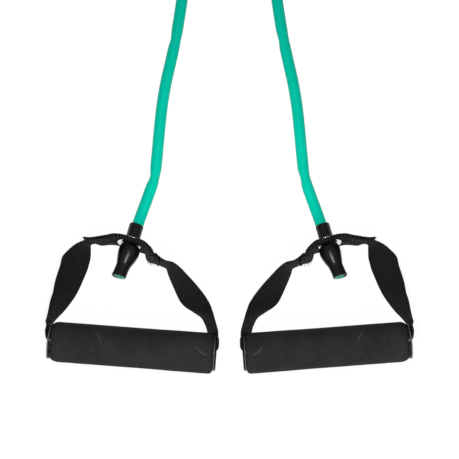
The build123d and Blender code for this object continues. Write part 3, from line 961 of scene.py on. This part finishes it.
def frays_piece(side):
    """Loose fibres where the strip was cut, and a few on its loose end."""
    draw = random.Random(7)
    fibres = []
    for _ in range(FRAYS_AT_CUT):
        share = draw.random() ** 1.6
        start = np.array([8.4 + 6.0 * share, 70.9 - 3.0 * share, draw.uniform(1.0, 5.0)])
        way = (draw.uniform(-1.0, 0.7), -1.0, draw.uniform(-0.1, 0.35))
        length, radius = draw.uniform(1.4, 3.4), draw.uniform(0.09, 0.16)
        fibres.append(fibre(start, way, length, radius, 0.4, draw.uniform(-1.3, 1.3)))
    for _ in range(FRAYS_AT_TAIL):
        start = np.array([-44.6, 85.3 + draw.uniform(-0.4, 0.5), draw.uniform(3.0, 22.0)])
        way = (-1.0, draw.uniform(-0.6, 0.6), draw.uniform(-0.4, 0.4))
        length, radius = draw.uniform(0.8, 1.8), draw.uniform(0.06, 0.1)
        fibres.append(fibre(start, way, length, radius, 0.2, draw.uniform(-0.4, 0.4)))
    points, faces = joined(fibres)
    piece = on_side(side, "frayed_threads", from_grip(points), faces, sharp_angle=80.0)
    finish_piece(piece, f"{side}_head", "thread", look="fray")


PLUG_BOW = 0.6  # how far the plug's cover bows towards its inner side
PLUG_BOW_MIDDLE = -9.5  # the station where it does so most
PLUG_BOW_LENGTH = 25.0
MOUTH_SLANT = (0.07, 0.08)  # of the neck's mouth, across the plug both ways
TIP_SLANT = (-0.10, 0.04)  # and of the tube's cut end in it


def eyelet_askew(points):
    """Sets the eyelet a little low on the plug, its outer side lifted off the webbing."""
    x, y, z = points.T
    off, into = [math.tan(math.radians(angle)) for angle in EYELET_LIFT]
    lifted = np.minimum(x, 0.0) * off + np.maximum(x, 0.0) * into
    return np.stack([x - EYELET_SLIP, y + EYELET_DROP, z + lifted], axis=1)


def plug_bent(points, slant=MOUTH_SLANT):
    """Bows the plug's cover slightly, and cuts the neck's mouth aslant."""
    x, y, z = points.T
    bow = PLUG_BOW * np.cos(math.pi * (z - PLUG_BOW_MIDDLE) / PLUG_BOW_LENGTH)
    aslant = (slant[0] * x + slant[1] * y) * (1 - smooth_step(z, -30.0, -24.0))
    return np.stack([x + bow, y, z + aslant], axis=1)


def tip_bent(points):
    """Bows the tube's end with the cover around it, cut aslant in its own way."""
    return plug_bent(points, TIP_SLANT)


def plug_lathe(side, name, outline, body, slot, node, segments=96, shaped=None, look=None):
    """A piece turned about the plug's axis, and then shaped."""
    points, faces = turned(outline, segments)
    if shaped is not None:
        points = shaped(points)
    piece = on_side(side, name, from_plug(points), faces, sharp_angle=32.0)
    finish_piece(piece, body, slot, (f"{side}_{node}",), look)


def eyelet_pieces(side):
    """The eyelet's rolled flange and barrel, and the washer behind the head."""
    face = -STRAP_THICKNESS
    back = STRAP_THICKNESS
    bore, flange = EYELET_BORE_RADIUS, EYELET_FLANGE_RADIUS
    washer = 0.5
    rim = flange - 1.5
    rolled = softened([
        (face, 6.6, 0.0),
        (face, flange, 0.15),
        (face - 0.3, flange - 0.05, 0.3),
        (face - 0.55, flange - 1.0, 0.8),
        (face - 0.5, flange - 2.2, 1.0),
        (face - 0.8, bore + 1.4, 1.0),
        (face - 0.3, bore + 0.05, 0.8),
        (back + 0.3, bore + 0.05, 0.6),
        (back + washer + 0.75, bore + 0.7, 0.7),
        (back + washer + 0.6, 8.0, 0.5),
        (back + washer, 8.2, 0.2),
        (back + washer, 6.6, 0.0),
    ], 5)
    plug_lathe(side, "eyelet_ring", rolled, f"{side}_head", "nickel", "eyelet", shaped=eyelet_askew)
    flat = softened([
        (back, 6.65, 0.1),
        (back, rim, 0.2),
        (back + washer, rim - 0.1, 0.2),
        (back + washer, 6.65, 0.1),
    ])
    plug_lathe(side, "washer_ring", flat, f"{side}_head", "nickel", "eyelet_washer")


def sleeve_piece(side):
    """The moulded cover: a collar, a bottle-shaped shoulder and a flared neck."""
    collar = [
        (COLLAR_MOUTH, 4.56, 0.15),
        (COLLAR_MOUTH, 5.7, 0.45),
        (14.3, 5.88, 0.4),
        (13.2, 5.8, 0.6),
        (3.2, 5.85, 0.8),
        (1.8, 5.42, 0.6),
    ]
    waist = [(-2.5, 5.35, 0.4), (-2.75, 6.6, 0.5)]
    body = spread_out([
        (-2.95, 7.15),
        (-4.1, 8.0),
        (-6.4, 8.5),
        (-9.0, 8.6),
        (-12.0, 8.18),
        (-15.0, 7.45),
        (-17.6, 6.72),
        (-20.0, 6.0),
        (-24.0, 5.7),
        (-28.0, 5.78),
        (-30.4, 5.95),
    ], 0.6)
    neck = [(-31.0, 5.8, 0.3), (-31.15, 5.2, 0.3), (-31.0, 4.68, 0.15)]
    bore = [(-18.5, 4.62, 0.5), (-12.5, 6.9, 1.0), (-6.5, 7.2, 1.0), (-1.0, 4.58, 0.5)]
    outline = softened(collar + waist + [(x, y, 0.0) for x, y in body] + neck + bore, 4)
    plug_lathe(side, "plug_cover", outline, "band", "sleeve_plastic", "plug_sleeve", 112, plug_bent)


def tube_tip_piece(side):
    """The tube's own end: it spreads over the bead and shows in the neck's mouth."""
    outline = softened([
        (7.5, 4.4, 0.1),
        (-1.0, 4.45, 0.5),
        (-6.5, 7.1, 1.0),
        (-12.5, 6.8, 1.0),
        (-18.5, 4.55, 0.5),
        (-30.5, 4.6, 0.5),
        (-30.9, 3.9, 0.4),
        (-30.6, 2.75, 0.4),
        (-17.6, 2.66, 0.3),
        (-12.0, 5.15, 0.6),
        (-7.0, 5.35, 0.6),
        (-2.9, 2.6, 0.3),
        (7.5, 2.5, 0.1),
    ])
    plug_lathe(side, "tube_tip", outline, "band", "tube_rubber", "tube_end", 96, tip_bent, "tube_cut")


# --- the grip ---

FOAM_OUTER_ROUNDING = (7.2, 4.2)
FOAM_INNER_ROUNDING = (3.3, 2.5)
FOAM_SWELL = 0.28  # how much fuller the foam is towards its inner end
FOAM_BORE_RADIUS = CORE_RADIUS + 0.03
FOAM_SEGMENTS = 216
CAP_SEGMENTS = 128
GRIP_ASKEW = (0.12, -0.0075)  # how far, and at what slope, the grip's skin sits off its axis
# Handling creases in the foam: (x of the middle, angle round the grip in degrees
# from straight up towards the hand side, half length, half width, depth, slant, bend).
CREASES = [
    (-27.0, -31.0, 6.6, 0.75, 0.34, 59.0, 0.03),
    (55.6, -3.0, 6.0, 1.0, 0.42, 36.0, -0.05),
    (57.6, -38.0, 5.4, 0.9, 0.14, 47.0, -0.05),
    (58.0, 22.0, 4.4, 1.0, 0.12, -35.0, 0.05),
    (8.0, 118.0, 6.0, 1.0, 0.3, 40.0, 0.04),
    (-46.0, 84.0, 5.5, 1.0, 0.2, -35.0, 0.04),
]


def foam_outline():
    """(x, radius) round the foam's section, bore included."""
    half = GRIP_LENGTH / 2
    points = []
    for end, (long, deep) in ((1, FOAM_INNER_ROUNDING), (-1, FOAM_OUTER_ROUNDING)):
        corner = []
        for step in range(9):
            angle = math.radians(step * 90 / 8)
            x = end * (half - long + long * math.cos(angle))
            corner.append((x, FOAM_RADIUS - deep + deep * math.sin(angle)))
        points.append(corner if end == 1 else corner[::-1])
    inner, outer = points
    middle = [(x, FOAM_RADIUS) for x in np.linspace(inner[-1][0], outer[0][0], 120)[1:-1]]
    face_in = [(-half - 0.05, 13.6), (-half + 0.35, 12.9), (-half + 0.5, FOAM_BORE_RADIUS)]
    bore = [(x, FOAM_BORE_RADIUS) for x in np.linspace(-half + 3, half - 3, 12)]
    face_out = [(half - 0.5, FOAM_BORE_RADIUS), (half - 0.35, 12.9), (half + 0.05, 13.2)]
    return inner + middle + outer + face_in + bore + face_out


def skin_offset(x):
    """How far the grip's foam and caps sit off the core's axis, towards the tube."""
    return GRIP_ASKEW[0] + GRIP_ASKEW[1] * x


def creases_at(x, around):
    """(depth in mm, share from 0 to 1) of the creases at a place on the foam; the share also sets the
    foam's painted highlight.
    """
    depth, most = 0.0, 0.0
    for middle, angle, half_length, half_width, deep, slant, bend in CREASES:
        dx = x - middle
        dy = math.radians((around - angle + 180.0) % 360.0 - 180.0) * FOAM_RADIUS
        turn = math.radians(slant)
        long = dx * math.cos(turn) + dy * math.sin(turn)
        wide = -dx * math.sin(turn) + dy * math.cos(turn) - bend * long * long
        taper = math.exp(-((long / half_length) ** 4))
        share = taper * math.exp(-((wide / half_width) ** 2))
        lip = taper * math.exp(-(((wide - 1.9 * half_width) / half_width) ** 2))
        depth += deep * (share - 0.35 * lip)
        most = max(most, share * min(1.0, deep / 0.35))
    return depth, most


def foam_piece(side):
    """The foam tube, with its soft unevenness and creases."""
    outline = foam_outline()
    points, marks = [], []
    for x, radius in outline:
        for j in range(FOAM_SEGMENTS):
            around = j * 360.0 / FOAM_SEGMENTS
            angle = math.radians(around)
            r, mark, offset = radius, 0.0, 0.0
            if radius > CORE_RADIUS + 0.5:
                depth, mark = creases_at(x, around)
                offset = skin_offset(x)
                spot = Vector((x * 0.035, 1.1 * math.cos(angle), 1.1 * math.sin(angle)))
                fine = Vector((x * 0.16, 2.6 * math.cos(angle), 2.6 * math.sin(angle)))
                r += 0.10 * noise.noise(spot) + 0.06 * noise.noise(fine) - depth
                r += FOAM_SWELL * float(smooth_step(x, 15.0, 40.0))
            points.append((x, offset - r * math.sin(angle), GRIP_RADIUS + r * math.cos(angle)))
            marks.append(mark)
    points = np.array(points)
    points[:, 2] = np.maximum(points[:, 2], 0.02)
    faces = ring_faces(len(outline), FOAM_SEGMENTS, close_rows=True)
    faces = [face[::-1] for face in faces]
    piece = on_side(side, "foam", from_grip(points), faces, sharp_angle=55.0)
    # The crease share drives the painted highlight along the creases in the foam's material.
    attribute = piece.data.attributes.new("crease_highlight", "FLOAT", "POINT")
    attribute.data.foreach_set("value", marks)
    finish_piece(piece, f"{side}_grip", "foam", (f"{side}_foam_grip",))


CAP_PRESSED = 0.005  # per mm: how the strap draws the outer cap in on its side
CAP_PRESSED_FROM = -3.0
CAP_RIDGE = {1: 0.75, -1: 1.9}  # how far past the foam's end each cap's ridge, which carries a painted highlight, is


def cap_piece(side, end):
    """A cap: spigot in the core, dark flank against the foam, ridge with a painted highlight, and
    domed lip.
    """
    core_end = GRIP_LENGTH / 2 + CORE_STAND_OUT
    seat = GRIP_LENGTH / 2
    ridge = seat + CAP_RIDGE[end]
    outline = softened([
        (seat + 1.4, 10.25, 1.2),
        (core_end - 14.0, 10.25, 0.2),
        (core_end - 14.0, 10.96, 0.3),
        (core_end + 0.03, 10.96, 0.0),
        (core_end + 0.03, 12.55, 0.0),
        (seat - 0.45, 12.6, 0.0),
        (seat - 0.45, 13.75, 0.3),
        (ridge - 0.3, 13.75, 0.1),
        (ridge, 14.25, 0.15),
        (ridge + 0.3, 14.25, 0.15),
        (ridge + 0.55, 13.85, 0.1),
        (seat + 2.5, 13.65, 0.4),
        (seat + 2.85, 12.4, 0.8),
        (seat + 2.8, 11.2, 0.8),
    ], 5)
    points, faces = turned(outline, CAP_SEGMENTS)
    x, y, z = points[:, 2], points[:, 0], points[:, 1]
    # Marks the ridge's crest for the painted highlight.
    ridge_highlight = smooth_step(np.hypot(y, z), 14.05, 14.25)
    outside = smooth_step(x, core_end - 1.5, core_end - 0.4)
    y = y + skin_offset(end * seat) * outside
    which = "inner"
    if end == -1:
        which = "outer"
        x = x - CAP_PRESSED * np.maximum(y - CAP_PRESSED_FROM, 0.0) ** 2 * outside
        faces = [face[::-1] for face in faces]
    placed = np.stack([x * end, y, z + GRIP_RADIUS], axis=1)
    piece = on_side(side, f"{which}_cap", from_grip(placed), faces, sharp_angle=34.0)
    attribute = piece.data.attributes.new("ridge_highlight", "FLOAT", "POINT")
    attribute.data.foreach_set("value", ridge_highlight)
    finish_piece(piece, f"{side}_grip", "cap_plastic", (f"{side}_{which}_end_cap",))


def keep_node(node, look):
    """A CAD piece that is shown as it is, in its own material."""
    shown = frame["nodes"][node]
    shown.data.materials.clear()
    shown.data.materials.append(MATERIALS[look])


# --- build ---

tube_piece()
for side in SIDES:
    strap_piece(side)
    stitches_piece(side)
    frays_piece(side)
    eyelet_pieces(side)
    sleeve_piece(side)
    tube_tip_piece(side)
    foam_piece(side)
    cap_piece(side, 1)
    cap_piece(side, -1)
    keep_node(f"{side}_grip_core", "core_plastic")
    keep_node(f"{side}_stopper_bead", "stopper_plastic")


# --- stage, light and camera ---

def make_stage():
    """A white floor with a low white wall round it, far beyond the object."""
    half, wall = 40.0, 3.0
    ring = [(-half, -half), (half, -half), (half, half), (-half, half)]
    corners = [(x, y, z) for z in (0.0, wall) for x, y in ring]
    walls = [(i, (i + 1) % 4, 4 + (i + 1) % 4, 4 + i) for i in range(4)]
    floor = new_mesh("floor", corners, [(0, 1, 2, 3)] + [face[::-1] for face in walls])
    floor.data.materials.append(floor_material())


def soft_box(name, place, target, size, power):
    """A square area light that points at a target."""
    light = bpy.data.lights.new(name, "AREA")
    light.shape = "SQUARE"
    light.size = size
    light.energy = power
    holder = add_object(name, light)
    holder.location = place
    holder.rotation_euler = (Vector(target) - Vector(place)).to_track_quat("-Z", "Y").to_euler()


def make_light():
    """A sky that is brighter overhead, and two soft boxes for gentle highlights."""
    world = bpy.data.worlds.new("studio")
    world.use_nodes = True
    nodes, links = world.node_tree.nodes, world.node_tree.links
    background = nodes["Background"]
    background.inputs["Strength"].default_value = 1.0
    direction = nodes.new("ShaderNodeTexCoord")
    height = nodes.new("ShaderNodeSeparateXYZ")
    links.new(direction.outputs["Generated"], height.inputs[0])
    sky = nodes.new("ShaderNodeMapRange")
    set_range(sky, 0.0, 0.8, 0.04, 0.5)
    links.new(height.outputs["Z"], sky.inputs["Value"])
    links.new(sky.outputs["Result"], background.inputs["Color"])
    bpy.context.scene.world = world
    soft_box("front", (0.0, -0.6, 0.55), (0.0, 0.0, 0.0), 0.45, 3.8)
    soft_box("overhead", (0.0, 0.095, 0.8), (0.0, 0.02, 0.0), 0.1, 3.1)


def make_camera():
    """Straight above the object, with a long lens."""
    frame_width = 0.3702  # that the camera sees at the object's middle height
    middle_y = 0.0548
    height = 3.4
    object_height = 0.010
    camera = bpy.data.cameras.new("camera")
    camera.sensor_width = 36.0
    camera.lens = camera.sensor_width * (height - object_height) / frame_width
    holder = add_object("camera", camera)
    holder.location = (0.0, middle_y, height)
    bpy.context.scene.camera = holder


make_stage()
make_light()
make_camera()
bpy.context.scene.view_settings.view_transform = "Standard"
